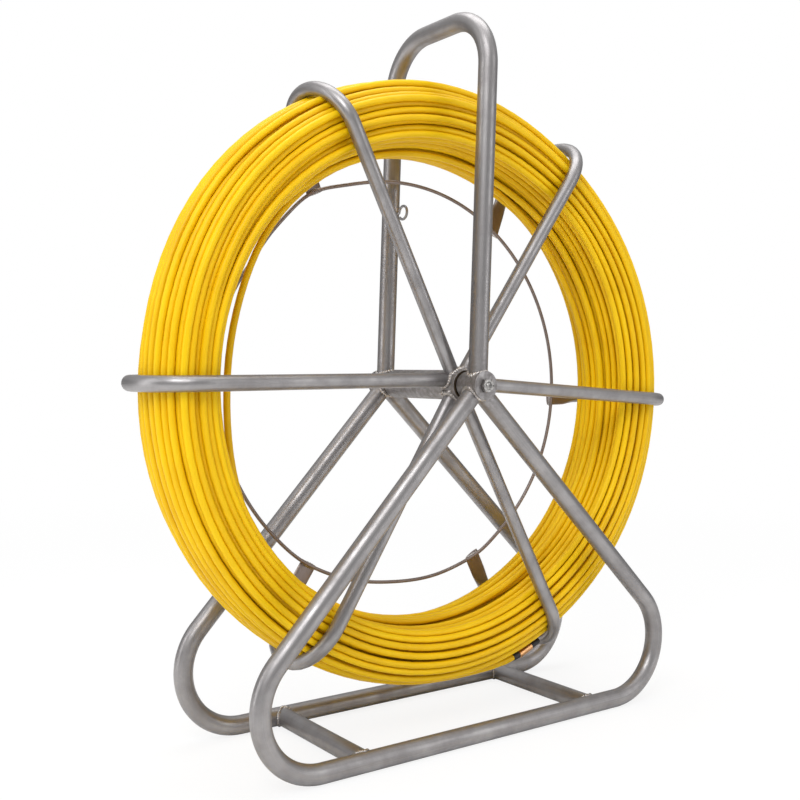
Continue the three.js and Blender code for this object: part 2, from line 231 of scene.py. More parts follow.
def spread(tree, value, low, high, newLow=0.0, newHigh=1.0):
    node = tree.nodes.new("ShaderNodeMapRange")
    node.inputs["From Min"].default_value = low
    node.inputs["From Max"].default_value = high
    node.inputs["To Min"].default_value = newLow
    node.inputs["To Max"].default_value = newHigh
    tree.links.new(value, node.inputs["Value"])
    return node.outputs["Result"]


def mixed(tree, share, first, second):
    node = tree.nodes.new("ShaderNodeMix")
    node.data_type = "RGBA"
    tree.links.new(share, node.inputs["Factor"])
    for label, value in (("A", first), ("B", second)):
        if isinstance(value, tuple):
            node.inputs[label].default_value = (*value, 1.0)
        else:
            tree.links.new(value, node.inputs[label])
    return node.outputs["Result"]


# Fine lines along a drawn tube, from noise stretched along it, with a broader mottle.
def makeDrawnLines():
    inputs = [("Along", "vector", None), ("Place", "vector", None), ("Fineness", "number", 1500.0)]
    outputs = [("Lines", "number"), ("Mottle", "number"), ("Grain", "number")]
    group, given, put = newGroup("drawnLines", inputs, outputs)
    stretched = scaled(group, given.outputs["Along"], (1.0, 1.0, 0.008))
    lines = noise(group, stretched, given.outputs["Fineness"], 3.0, 0.6)
    mottle = noise(group, given.outputs["Place"], 38.0, 5.0, 0.62)
    grain = noise(group, given.outputs["Place"], 1400.0, 2.0, 0.6)
    group.links.new(spread(group, lines, 0.32, 0.68), put.inputs["Lines"])
    group.links.new(spread(group, mottle, 0.34, 0.66), put.inputs["Mottle"])
    group.links.new(spread(group, grain, 0.3, 0.7), put.inputs["Grain"])
    return group


# Dull, darker metal close to the axle, where everything is welded.
def makeWeldHeat():
    inputs = [("Place", "vector", None), ("Reach", "number", 0.045)]
    group, given, put = newGroup("weldHeat", inputs, [("Heat", "number")])
    centred = group.nodes.new("ShaderNodeVectorMath")
    centred.operation = "SUBTRACT"
    centred.inputs[1].default_value = tuple(hub)
    group.links.new(given.outputs["Place"], centred.inputs[0])
    flat = scaled(group, centred.outputs[0], (1.0, 0.0, 1.0))
    length = group.nodes.new("ShaderNodeVectorMath")
    length.operation = "LENGTH"
    group.links.new(flat, length.inputs[0])
    away = mathOf(group, "DIVIDE", length.outputs["Value"], given.outputs["Reach"])
    near = mathOf(group, "SUBTRACT", 1.0, away, True)
    patches = spread(group, noise(group, given.outputs["Place"], 160.0, 4.0, 0.6), 0.35, 0.62)
    group.links.new(mathOf(group, "MULTIPLY", near, patches), put.inputs["Heat"])
    return group


# Light scuffs and a soft change of tone on a plastic or rubber skin.
def makeSkinMarks():
    inputs = [("Along", "vector", None), ("Place", "vector", None)]
    outputs = [("Scuff", "number"), ("Tone", "number"), ("Grain", "number")]
    group, given, put = newGroup("skinMarks", inputs, outputs)
    scuff = noise(group, scaled(group, given.outputs["Along"], (1.0, 1.0, 0.05)), 420.0, 5.0, 0.65)
    tone = noise(group, given.outputs["Place"], 22.0, 3.0, 0.5)
    grain = noise(group, given.outputs["Place"], 900.0, 3.0, 0.6)
    group.links.new(spread(group, scuff, 0.58, 0.72), put.inputs["Scuff"])
    group.links.new(spread(group, tone, 0.35, 0.65), put.inputs["Tone"])
    group.links.new(spread(group, grain, 0.3, 0.7), put.inputs["Grain"])
    return group


drawnLines = makeDrawnLines()
weldHeat = makeWeldHeat()
skinMarks = makeSkinMarks()


def newMaterial(name):
    material = bpy.data.materials.new(name)
    material.use_nodes = True
    tree = material.node_tree
    surface = tree.nodes["Principled BSDF"]
    where = tree.nodes.new("ShaderNodeTexCoord")
    along = tree.nodes.new("ShaderNodeAttribute")
    along.attribute_name = "drawn"
    return material, tree, surface, where.outputs["Object"], along.outputs["Vector"]


def placeGroup(tree, group, **links):
    node = tree.nodes.new("ShaderNodeGroup")
    node.node_tree = group
    for label, value in links.items():
        tree.links.new(value, node.inputs[label])
    return node.outputs


def bumped(tree, surface, height, distance):
    bump = tree.nodes.new("ShaderNodeBump")
    bump.inputs["Distance"].default_value = distance
    tree.links.new(height, bump.inputs["Height"])
    tree.links.new(bump.outputs["Normal"], surface.inputs["Normal"])


silver = {
    "light": (0.375, 0.362, 0.363),
    "dark": (0.255, 0.244, 0.246),
    "burnt": (0.13, 0.115, 0.11),
    "dull": (0.25, 0.20, 0.18),
    "smooth": 0.33,
    "rough": 0.47,
    "lineDepth": 0.00002,
    "grain": 0.2,
}
weldLook = {
    **silver,
    "light": (0.78, 0.75, 0.73),
    "dark": (0.12, 0.10, 0.09),
    "burnt": (0.42, 0.39, 0.37),
    "smooth": 0.13,
    "rough": 0.36,
    "lineDepth": 0.00015,
    "grain": 0.6,
}


# Satin silver finish on steel: drawn lines, a broad mottle, dull heat marks at the hubs, and bare
# dull steel where the piece's own mark says so.
def makeSilver(name, look, weld=False):
    material, tree, surface, place, along = newMaterial(name)
    if weld:
        along = place
    lines = placeGroup(tree, drawnLines, Along=along, Place=place)
    heat = placeGroup(tree, weldHeat, Place=place)["Heat"]
    fine = mathOf(tree, "MULTIPLY", lines["Lines"], 0.35)
    tone = mathOf(tree, "ADD", fine, mathOf(tree, "MULTIPLY", lines["Mottle"], 0.65))
    color = mixed(tree, tone, look["dark"], look["light"])
    color = mixed(tree, mathOf(tree, "MULTIPLY", heat, 0.75), color, look["burnt"])
    mark = tree.nodes.new("ShaderNodeAttribute")
    mark.attribute_name = "dull"
    dull = mathOf(tree, "MULTIPLY", mark.outputs["Fac"], spread(tree, tone, 0.0, 1.0, 1.0, 0.7))
    color = mixed(tree, dull, color, look["dull"])
    tree.links.new(color, surface.inputs["Base Color"])
    rough = spread(tree, lines["Mottle"], 0.0, 1.0, look["rough"], look["smooth"])
    rough = mathOf(tree, "ADD", rough, mathOf(tree, "MULTIPLY", heat, 0.2))
    rough = mathOf(tree, "ADD", rough, mathOf(tree, "MULTIPLY", dull, 0.12))
    rough = mathOf(tree, "ADD", rough, mathOf(tree, "MULTIPLY", lines["Grain"], 0.05), True)
    tree.links.new(rough, surface.inputs["Roughness"])
    surface.inputs["Metallic"].default_value = 0.9
    height = mathOf(tree, "ADD", lines["Lines"], mathOf(tree, "MULTIPLY", lines["Grain"], look["grain"]))
    bumped(tree, surface, height, look["lineDepth"])
    return material


sheath = {
    "bright": (0.89, 0.575, 0.002),
    "deep": (0.76, 0.44, 0.001),
    "scuffed": (0.86, 0.60, 0.03),
    "smooth": 0.4,
    "rough": 0.55,
}


# Yellow plastic skin of the rod: each turn has its own slight tone, with faint scuffs along it.
def makeSheath(look):
    material, tree, surface, place, along = newMaterial("yellowSheath")
    marks = placeGroup(tree, skinMarks, Along=along, Place=place)
    turn = tree.nodes.new("ShaderNodeAttribute")
    turn.attribute_name = "turnTone"
    own = mathOf(tree, "MULTIPLY", turn.outputs["Fac"], 0.6)
    share = mathOf(tree, "ADD", own, mathOf(tree, "MULTIPLY", marks["Tone"], 0.4))
    color = mixed(tree, share, look["deep"], look["bright"])
    color = mixed(tree, mathOf(tree, "MULTIPLY", marks["Scuff"], 0.35), color, look["scuffed"])
    tree.links.new(color, surface.inputs["Base Color"])
    rough = spread(tree, marks["Scuff"], 0.0, 1.0, look["smooth"], look["rough"])
    rough = mathOf(tree, "ADD", rough, mathOf(tree, "MULTIPLY", marks["Grain"], 0.05))
    tree.links.new(rough, surface.inputs["Roughness"])
    surface.inputs["Specular IOR Level"].default_value = 0.22
    bumped(tree, surface, mathOf(tree, "ADD", marks["Grain"], marks["Scuff"]), 0.00002)
    return material


# A plain turned or moulded finish in two tones, with grain in its colour, gloss and surface.
def makePlain(name, first, second, smooth, rough, metallic, depth=0.00002):
    material, tree, surface, place, _ = newMaterial(name)
    marks = placeGroup(tree, skinMarks, Along=place, Place=place)
    half = mathOf(tree, "MULTIPLY", marks["Grain"], 0.5)
    share = mathOf(tree, "ADD", half, mathOf(tree, "MULTIPLY", marks["Scuff"], 0.5))
    tree.links.new(mixed(tree, share, first, second), surface.inputs["Base Color"])
    tree.links.new(spread(tree, share, 0.0, 1.0, smooth, rough), surface.inputs["Roughness"])
    surface.inputs["Metallic"].default_value = metallic
    bumped(tree, surface, marks["Grain"], depth)
    return material


satinSilver = makeSilver("satinSilver", silver)
weldSilver = makeSilver("weldSilver", weldLook, weld=True)
yellowSheath = makeSheath(sheath)
zincPlate = makePlain("zincPlate", (0.40, 0.39, 0.38), (0.07, 0.065, 0.06), 0.24, 0.5, 1.0)
bronzeBush = makePlain("bronzeBush", (0.10, 0.075, 0.05), (0.05, 0.038, 0.028), 0.45, 0.65, 1.0)
turnedBrass = makePlain("turnedBrass", (0.62, 0.34, 0.16), (0.42, 0.22, 0.09), 0.18, 0.35, 1.0)
blackRubber = makePlain("blackRubber", (0.012, 0.011, 0.011), (0.03, 0.028, 0.027), 0.4, 0.62, 0.0, 0.00004)
print("materials made")


def unit(vectors):
    return vectors / np.linalg.norm(vectors, axis=-1, keepdims=True)


# Signed volume: a sixth of the sum of each triangle's box product, above zero when faces point out.
def signedVolume(verts, triangles):
    a, b, c = (verts[triangles[:, i]] for i in range(3))
    return np.einsum("ij,ij->i", a, np.cross(b, c)).sum() / 6.0


# Joins closed surfaces, each (points, quads, caps, drawn), into one mesh with its faces out. Marks
# are extra numbers for each point, by name.
def makePiece(name, parts, material, body, replaces=(), sharpAngle=40.0, marks=None):
    verts, drawn, quads, caps = [], [], [], []
    start = 0
    for points, squares, ends, along in parts:
        fans = [np.column_stack([np.full(len(e) - 2, e[0]), e[1:-1], e[2:]]) for e in map(np.array, ends)]
        triangles = np.vstack([squares[:, [0, 1, 2]], squares[:, [0, 2, 3]], *fans])
        if signedVolume(points - points.mean(axis=0), triangles) < 0:
            squares = squares[:, ::-1]
            ends = [e[::-1] for e in ends]
        verts.append(points)
        drawn.append(along)
        quads.append(squares + start)
        caps += [[int(i) + start for i in e] for e in ends]
        start += len(points)
    mesh = bpy.data.meshes.new(name)
    mesh.from_pydata(np.vstack(verts), [], np.vstack(quads).tolist() + caps)
    mesh.polygons.foreach_set("use_smooth", np.ones(len(mesh.polygons), dtype=bool))
    mesh.set_sharp_from_angle(angle=math.radians(sharpAngle))
    layer = mesh.attributes.new("drawn", "FLOAT_VECTOR", "POINT")
    layer.data.foreach_set("vector", np.vstack(drawn).astype(np.float32).ravel())
    for label, values in (marks or {}).items():
        mesh.attributes.new(label, "FLOAT", "POINT").data.foreach_set("value", values.astype(np.float32))
    mesh.materials.append(material)
    mesh.update()
    piece = bpy.data.objects.new(name, mesh)
    bpy.context.scene.collection.objects.link(piece)
    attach(piece, body)
    if replaces:
        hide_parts(*replaces)


# The squares of a grid of points: its columns always join round, and its rows where it is closed.
def gridSquares(rowCount, columnCount, closed=True):
    rows = np.arange(rowCount if closed else rowCount - 1)[:, None]
    columns = np.arange(columnCount)[None]
    nextRow, nextColumn = (rows + 1) % rowCount, (columns + 1) % columnCount
    return np.stack([
        rows * columnCount + columns,
        rows * columnCount + nextColumn,
        nextRow * columnCount + nextColumn,
        nextRow * columnCount + columns,
    ], axis=-1).reshape(-1, 4)


# A tube along a path: each point carries an ellipse square to the path, its first half-width
# measured along the across vector. An open tube ends in flat caps.
def sweep(path, widths, across, sides=20, closed=False):
    path = np.asarray(path, dtype=float)
    count = len(path)
    widths = np.asarray(widths, dtype=float)
    if widths.ndim < 2:
        widths = widths.reshape(-1, 1)
    widths = np.broadcast_to(widths, (count, 2))
    if closed:
        ahead = np.roll(path, -1, axis=0) - np.roll(path, 1, axis=0)
    else:
        ahead = np.gradient(path, axis=0)
        ahead[0], ahead[-1] = path[1] - path[0], path[-1] - path[-2]
    ahead = unit(ahead)
    across = np.broadcast_to(np.asarray(across, dtype=float), (count, 3))
    first = unit(across - np.einsum("ij,ij->i", across, ahead)[:, None] * ahead)
    second = np.cross(ahead, first)
    angle = np.arange(sides) * 2 * math.pi / sides
    cos, sin = np.cos(angle), np.sin(angle)
    across, deep = widths[:, :1] * cos, widths[:, 1:] * sin
    verts = path[:, None] + first[:, None] * across[..., None] + second[:, None] * deep[..., None]
    verts = verts.reshape(-1, 3)
    steps = np.linalg.norm(np.diff(path, axis=0), axis=1)
    length = np.concatenate([[0.0], np.cumsum(steps)])
    drawn = np.stack(np.broadcast_arrays(across, deep, length[:, None]), axis=-1).reshape(-1, 3)
    caps = [] if closed else [list(range(sides))[::-1], list(range((count - 1) * sides, count * sides))]
    return verts, gridSquares(count, sides, closed), caps, drawn


# The last stretch of a rod's end, rounded over: the path's end points, drawn in by a quarter circle.
def roundedEnd(point, heading, width, steps=4):
    angle = np.linspace(0, math.pi / 2 * 0.93, steps + 1)[1:]
    points = point + heading * (width * np.sin(angle))[:, None]
    return points, width * np.cos(angle)


# A solid turned about the axle: a closed outline of (radius, along) points carried round Y.
def turned(outline, segments=64):
    outline = np.asarray(outline, dtype=float)
    angle = np.arange(segments) * 2 * math.pi / segments
    radius, along = outline[:, 0], outline[:, 1]
    x = radius[None] * np.cos(angle)[:, None]
    z = radius[None] * np.sin(angle)[:, None]
    y = np.broadcast_to(along[None], x.shape)
    local = np.stack([x, y, z], axis=-1).reshape(-1, 3)
    return local + axleFoot, gridSquares(segments, len(outline)), [], local


# A band's outline with its four corners rounded by quarter circles.
def bandOutline(inner, outer, start, end, edge):
    corners = [(inner, start, 180), (outer, start, 270), (outer, end, 0), (inner, end, 90)]
    signs = [(1, 1), (-1, 1), (-1, -1), (1, -1)]
    points = []
    for (radius, along, first), (sx, sy) in zip(corners, signs):
        angle = np.radians(np.linspace(first, first + 90, 5))
        points.append(np.column_stack([
            radius + sx * edge + edge * np.cos(angle),
            along + sy * edge + edge * np.sin(angle),
        ]))
    return np.vstack(points)


# A path through corners, each inner corner rounded by an arc of the bend radius.
def roundedPath(corners, bend, step=math.radians(4)):
    corners = np.asarray(corners, dtype=float)
    headings = unit(np.diff(corners, axis=0))
    points = [corners[:1]]
    for i in range(1, len(corners) - 1):
        before, after = headings[i - 1], headings[i]
        turn = math.acos(np.clip(before @ after, -1, 1))
        begin = corners[i] - before * bend * math.tan(turn / 2)
        inward = unit(after - before * (after @ before))
        angle = np.linspace(0, turn, int(turn / step) + 2)[:, None]
        points.append(begin + before * bend * np.sin(angle) + inward * bend * (1 - np.cos(angle)))
    points.append(corners[-1:])
    return np.vstack(points)


# Extra points along a path's long straight stretches, so that lines and shading stay even.
def evened(path, longest=0.03):
    steps = np.linalg.norm(np.diff(path, axis=0), axis=1)
    counts = np.maximum(1, np.ceil(steps / longest).astype(int))
    pieces = [a + (b - a) * (np.arange(n) / n)[:, None] for a, b, n in zip(path[:-1], path[1:], counts)]
    return np.vstack(pieces + [path[-1:]])


# A weld bead where a tube meets a round bar. Each of the tube's surface lines is followed out
# to the bar's radius, and a lumpy rod is laid along the closed curve of those points.
def weldBead(start, heading, tubeRadius, barPoint, barAxis, barRadius, bead, seed, ripples=26, points=110):
    heading = unit(np.asarray(heading, dtype=float))
    helper = np.cross(heading, barAxis)
    side = unit(helper) if np.linalg.norm(helper) > 0.1 else unit(np.cross(heading, zAxis))
    other = np.cross(heading, side)
    angle = np.arange(points) * 2 * math.pi / points
    out = side * np.cos(angle)[:, None] + other * np.sin(angle)[:, None]
    lines = start + tubeRadius * out
    flatten = np.eye(3) - np.outer(barAxis, barAxis)
    offset = (lines - barPoint) @ flatten
    speed = heading @ flatten
    a = speed @ speed
    b = 2 * offset @ speed
    c = np.einsum("ij,ij->i", offset, offset) - barRadius**2
    reach = (-b + np.sqrt(np.maximum(b * b - 4 * a * c, 0.0))) / (2 * a)
    curve = lines + heading * reach[:, None]
    rng = np.random.default_rng(seed)
    lumps = 1 + 0.16 * np.sin(ripples * angle + rng.uniform(0, 6))
    lumps += 0.14 * np.sin(5 * angle + rng.uniform(0, 6))
    lumps += 0.10 * np.sin(3 * angle + rng.uniform(0, 6))
    return sweep(curve, bead * lumps, out, 8, closed=True)


standSizes = {
    "tube": 0.010,
    "sides": 28,
    "bend": 0.065,
    "cornerReach": 0.352,
    "baseOffset": 0.016,
    "legDrop": 0.002,
    "handleBend": 0.056,
    "handleLean": 2.0,
    "sleeveEdge": 0.0008,
    "washerEdge": 0.0007,
    "bead": 0.0021,
    "railBead": 0.0018,
    "floorGap": 0.0003,
}
tubeRadius = standSizes["tube"]
sleeveRadius = (nodeBox("front_hub_sleeve")[1] - nodeBox("front_hub_sleeve")[0])[0] / 2


def framePlane(name):
    low, high = nodeBox(name)
    return (low[1] + high[1]) / 2


def frameCorners(name):
    y = framePlane(name)
    low, high = nodeBox(name)
    rail = low[2] + (high[1] - low[1]) / 2
    top = (0.0, y, hub[2] - standSizes["legDrop"])
    middle, reach = standSizes["baseOffset"], standSizes["cornerReach"]
    return [top, (middle - reach, y, rail), (middle + reach, y, rail), top]


# One bent tube from the hub down a leg, round both bends and up to the hub again.
def makeSideFrame(name, piece):
    path = evened(roundedPath(frameCorners(name), standSizes["bend"]))
    widths = np.full((len(path), 2), (framePlaneHalf(name), tubeRadius))
    part = sweep(path, widths, yAxis, standSizes["sides"])
    makePiece(piece, [part], satinSilver, "stand", [name])


def framePlaneHalf(name):
    low, high = nodeBox(name)
    return (high[1] - low[1]) / 2


for node, piece in (("front_side_frame", "frontSideFrame"), ("rear_side_frame", "rearSideFrame")):
    makeSideFrame(node, piece)


def handlePath():
    lean = math.radians(standSizes["handleLean"])
    rise = np.array([math.sin(lean), 0.0, math.cos(lean)])
    top = (nodeBox("carry_handle")[1][2] - hub[2]) / math.cos(lean) - tubeRadius
    front, rear = framePlane("front_side_frame"), framePlane("rear_side_frame")
    feet = [axleFoot + plane * yAxis for plane in (front, rear)]
    corners = [feet[0], feet[0] + rise * top, feet[1] + rise * top, feet[1]]
    return evened(roundedPath(corners, standSizes["handleBend"])), rise


def makeHandle():
    path, rise = handlePath()
    across = np.cross(rise, yAxis)
    part = sweep(path, tubeRadius, across, standSizes["sides"])
    makePiece("carryHandle", [part], satinSilver, "stand", ["carry_handle"])


makeHandle()


def makeCrossTube(node, piece):
    low, high = nodeBox(node)
    x, z = (low[0] + high[0]) / 2, (low[2] + high[2]) / 2
    ends = [framePlane("front_side_frame"), framePlane("rear_side_frame")]
    path = evened(np.array([(x, y, z) for y in ends]), 0.012)
    part = sweep(path, (high[0] - low[0]) / 2, zAxis, standSizes["sides"])
    makePiece(piece, [part], satinSilver, "stand", [node])
    return x, z


crossTubes = [makeCrossTube(f"{side}_cross_tube", f"{side}CrossTube") for side in ("left", "right")]


# A turned band of satin steel with rounded edges, as long and as wide as its node.
def makeBand(node, piece, inner, edge, body="stand"):
    low, high = nodeBox(node)
    outer = (high[0] - low[0]) / 2
    outline = bandOutline(inner, outer, low[1], high[1], edge)
    makePiece(piece, [turned(outline)], satinSilver, body, [node], 50.0)


axleRadius = (nodeBox("axle_rod")[1] - nodeBox("axle_rod")[0])[0] / 2
for end in ("front", "rear"):
    makeBand(f"{end}_hub_sleeve", f"{end}HubSleeve", axleRadius, standSizes["sleeveEdge"])
    makeBand(f"{end}_end_washer", f"{end}EndWasher", axleRadius, standSizes["washerEdge"])

nutSizes = {
    "chamfer": 0.0007,
    "segments": 96,
    "threadPitch": 0.00125,
    "threadDepth": 0.0006,
    "threadShown": 0.0135,
    "threadFade": 0.002,
    "rodSegments": 32,
    "endLength": 0.0012,  # the rod's end narrows over this length
    "endDrop": 0.0007,
}


# A nut: at each angle the radius of a hexagon, cut down near both faces by a cone.
def makeNut(end):
    low, high = nodeBox(f"{end}_axle_nut")
    flat = (high[2] - low[2]) / 2
    segments = nutSizes["segments"]
    angle = np.arange(segments) * 2 * math.pi / segments
    hexagon = flat / np.cos(angle % (math.pi / 3) - math.pi / 6)
    chamfer = nutSizes["chamfer"]
    steps = chamfer * np.array([0.0, 0.0, 0.3, 1.0, 1.6])
    heights = np.concatenate([low[1] + steps, (high[1] - steps)[::-1]])
    cone = flat + chamfer * np.array([0.0, 0.0, 0.6, 1.6, 3.0])
    radii = np.minimum(hexagon[:, None], np.concatenate([cone, cone[::-1]])[None])
    radii[:, [0, -1]] = axleRadius
    x, z = radii * np.cos(angle)[:, None], radii * np.sin(angle)[:, None]
    local = np.stack(np.broadcast_arrays(x, heights, z), axis=-1).reshape(-1, 3)
    part = (local + axleFoot, gridSquares(segments, len(heights)), [], local)
    makePiece(f"{end}AxleNut", [part], zincPlate, "stand", [f"{end}_axle_nut"], 28.0)


# The axle: a plain rod with a thread at each end, whose depth is a triangle wave of height and turn.
def makeAxle():
    low, high = nodeBox("axle_rod")
    sizes, segments = nutSizes, nutSizes["rodSegments"]
    fine = np.arange(0, sizes["threadShown"], sizes["threadPitch"] / 6)
    alongs = np.concatenate([low[1] + fine, high[1] - fine[::-1]])
    angle = np.arange(segments) * 2 * math.pi / segments
    phase = (alongs[:, None] / sizes["threadPitch"] - angle[None] / (2 * math.pi)) % 1.0
    edge = np.minimum(alongs - low[1], high[1] - alongs)[:, None]
    lead = np.clip(edge / sizes["endLength"], 0, 1)
    fade = np.clip((sizes["threadShown"] - edge) / sizes["threadFade"], 0, 1)
    radius = axleRadius - sizes["threadDepth"] * 2 * np.abs(phase - 0.5) * fade
    radius = radius - sizes["endDrop"] * (1 - lead)
    x, z = radius * np.cos(angle), radius * np.sin(angle)
    local = np.stack(np.broadcast_arrays(x, alongs[:, None], z), axis=-1).reshape(-1, 3)
    count = len(alongs)
    caps = [list(range(segments))[::-1], list(range((count - 1) * segments, count * segments))]
    part = (local + axleFoot, gridSquares(count, segments, False), caps, local)
    makePiece("axleRod", [part], zincPlate, "stand", ["axle_rod"], 60.0)


makeNut("front")
makeNut("rear")
makeAxle()

eyeSizes = {
    "wire": 0.0015,
    "radius": 0.0075,
    "stem": 0.007,
    "opening": 45.0,  # degrees of the circle left open
    "height": 0.194,
    "sunk": 0.002,  # the stem's root in the tube
    "bead": 0.0012,
}


# A wire eye on a short stem: a straight stretch, then a circle that stops short of the stem.
def makeGuideEye():
    sizes = eyeSizes
    _, rise = handlePath()
    inside = framePlane("rear_side_frame") - tubeRadius
    root = hub + rise * sizes["height"] + yAxis * inside
    middle = root - yAxis * (sizes["stem"] + sizes["radius"])
    angle = np.linspace(0, math.radians(360 - sizes["opening"]), 60)[1:, None]
    circle = middle + sizes["radius"] * (yAxis * np.cos(angle) + rise * np.sin(angle))
    stem = [root + yAxis * sizes["sunk"], root - yAxis * sizes["stem"] * 0.5, root - yAxis * sizes["stem"]]
    end = angle[-1, 0]
    heading = rise * math.cos(end) - yAxis * math.sin(end)
    tip, tipWidths = roundedEnd(circle[-1], heading, sizes["wire"])
    points = np.vstack([stem, circle, tip])
    widths = np.concatenate([np.full(len(points) - len(tip), sizes["wire"]), tipWidths])
    across = np.cross(rise, yAxis)
    upright = hub + rise * sizes["height"] + yAxis * framePlane("rear_side_frame")
    start = root + yAxis * sizes["sunk"] * 2
    bead = weldBead(start, -yAxis, sizes["wire"], upright, rise, tubeRadius, sizes["bead"], 5, 9, 40)
    part = sweep(points, widths, across, 12)
    makePiece("guideEye", [part], satinSilver, "stand", ["guide_eye"])
    makePiece("guideEyeWeld", [bead], weldSilver, "stand")


makeGuideEye()


# Beads round every tube that meets a sleeve, and round the cross tubes' ends on the rails.
def makeStandWelds():
    beads = []
    _, rise = handlePath()
    for i, node in enumerate(("front_side_frame", "rear_side_frame")):
        y = framePlane(node)
        top, left, right, _ = (np.array(corner) for corner in frameCorners(node))
        axlePoint = np.array([0.0, y, hub[2]])
        for j, toward in enumerate((left - top, right - top, rise)):
            start = top if j < 2 else axlePoint
            size, seed = standSizes["bead"], 10 + 3 * i + j
            beads.append(weldBead(start, toward, tubeRadius, axlePoint, yAxis, sleeveRadius, size, seed))
        for j, (x, z) in enumerate(crossTubes):  # they lie on the floor, so z is their radius too
            railPoint = np.array([x, y, z])
            inward = yAxis * (1 if y < 0 else -1)
            size, seed = standSizes["railBead"], 30 + 2 * i + j
            bead = weldBead(railPoint, inward, z, railPoint, xAxis, tubeRadius, size, seed)
            bead[0][:, 2] = np.maximum(bead[0][:, 2], standSizes["floorGap"])
            beads.append(bead)
    makePiece("standWelds", beads, weldSilver, "stand", (), 80.0)


makeStandWelds()
print("stand made")

# One row to a loop, anticlockwise from the right: its turn in degrees, its outside radius, how deep
# its bend is, the planes of its front and rear arms, how far it stands above the axis and how far
# its tab is turned.
loopKeys = ("turn", "radius", "depth", "front", "rear", "rise", "tabTurn")
loopRows = [
    (-4.0, 0.3487, 0.046, -0.0553, 0.0588, 0.0025, -1.2),
    (55.2, 0.3455, 0.058, -0.0533, 0.0623, 0.0, -2.4),
    (117.6, 0.3406, 0.046, -0.0533, 0.0551, 0.0, -0.2),
    (180.5, 0.3422, 0.047, -0.0520, 0.0570, 0.0058, 0.0),
    (237.3, 0.3361, 0.050, -0.0533, 0.0515, 0.0, 1.1),
    (297.7, 0.3480, 0.053, -0.0533, 0.0578, 0.0, -1.2),
]
spokeLoops = [dict(zip(loopKeys, row)) for row in loopRows]
reelSizes = {
    "spoke": 0.0075,
    "sides": 22,
    "frontSlope": 0.004,
    "tabLength": 0.026,
    "tabHalfWide": 0.010,
    "tabHalfThin": 0.0024,
    "tabPastRing": 0.0016,
    "squash": 0.06,
    "crease": 0.05,
    "creasePitch": 0.011,
    "creasedLoops": (4, 5),
    "ringWire": 0.002,
    "hubWall": 0.003,
    "hubEdge": 0.0006,
    "hubBead": 0.0021,
    "beadClear": 0.0005,  # from the hub tube
    "hubLump": 0.0034,
    "lumpClear": 0.0008,
    "lumpTurns": (24, 31),  # degrees to each side of an arm
    "lumpPlanes": (-0.005, 0.0, 0.005),
    "tabBead": 0.0014,
    "tabBeadSpan": 0.0085,
    "tabBeadApart": 0.0017,  # from the ring's centre line
    "tabBeadRise": 0.0016,
}
ringShape = {
    "radius": 0.2268,
    "plane": 0.0523,
    "leanAcross": -0.0073,
    "leanUp": 0.0052,
    "dents": [(119, 9, 0.0065), (145, 8, -0.003), (266, 14, -0.0033), (299, 7, 0.002), (235, 8, 0.0015)],
}
hubRadius = (nodeBox("reel_hub_tube")[1] - nodeBox("reel_hub_tube")[0])[0] / 2


def outward(turn):
    turn = np.asarray(turn, dtype=float)
    return np.stack([np.cos(turn), np.zeros_like(turn), np.sin(turn)], axis=-1)


# The wire ring's radius and plane at a turn: a circle with a few bell-shaped dents, leaning a little.
def ringAt(turn):
    s = ringShape
    radius = np.full(np.shape(turn), s["radius"])
    for middle, width, height in s["dents"]:
        apart = (np.degrees(turn) - middle + 180) % 360 - 180
        radius = radius + height * np.exp(-(apart / width) ** 2)
    return radius, s["plane"] + s["leanAcross"] * np.cos(turn) + s["leanUp"] * np.sin(turn)


# One loop's centre line: a sloping front arm, half an ellipse, and a rear arm that ends at the ring.
def loopPath(loop):
    s = reelSizes
    turn = math.radians(loop["turn"])
    bendStart = loop["radius"] - s["spoke"] - loop["depth"]
    front, rear = loop["front"], loop["rear"]
    half, middle = (rear - front) / 2, (rear + front) / 2
    angle = np.radians(np.linspace(0, 180, 47))
    bend = np.column_stack([bendStart + loop["depth"] * np.sin(angle), middle - half * np.cos(angle)])
    flat = np.vstack([[(hubRadius * 0.5, front + s["frontSlope"])], bend])
    points = flat[:, :1] * outward(turn) + flat[:, 1:] * yAxis
    tabTurn = turn + math.radians(loop["tabTurn"])
    radius, plane = ringAt(tabTurn)
    plane = plane + s["ringWire"] + s["tabHalfThin"]
    tip = outward(tabTurn) * (radius - s["tabPastRing"]) + yAxis * plane
    return hub + zAxis * loop["rise"] + evened(np.vstack([points, [tip]]), 0.006)


# Half-widths along a loop: round, a little flattened in the bend, hammered flat towards the tab.
def loopWidths(loop, path, creased):
    s = reelSizes
    length = np.concatenate([[0.0], np.cumsum(np.linalg.norm(np.diff(path, axis=0), axis=1))])
    share = np.clip(2 - (length[-1] - length) / s["tabLength"], 0, 1)
    flat = share * share * (3 - 2 * share)
    bendStart = loop["radius"] - s["spoke"] - loop["depth"]
    reach = np.linalg.norm((path - hub)[:, [0, 2]], axis=1)
    curl = np.clip((reach - bendStart) / loop["depth"], 0, 1)
    wide = s["spoke"] * (1 + 0.4 * s["squash"] * curl) * (1 - flat) + s["tabHalfWide"] * flat
    thin = s["spoke"] * (1 - s["squash"] * curl) * (1 - flat) + s["tabHalfThin"] * flat
    if creased:
        thin = thin * (1 - s["crease"] * np.abs(np.sin(math.pi * length / s["creasePitch"])) * curl)
    return np.column_stack([wide, thin]), flat


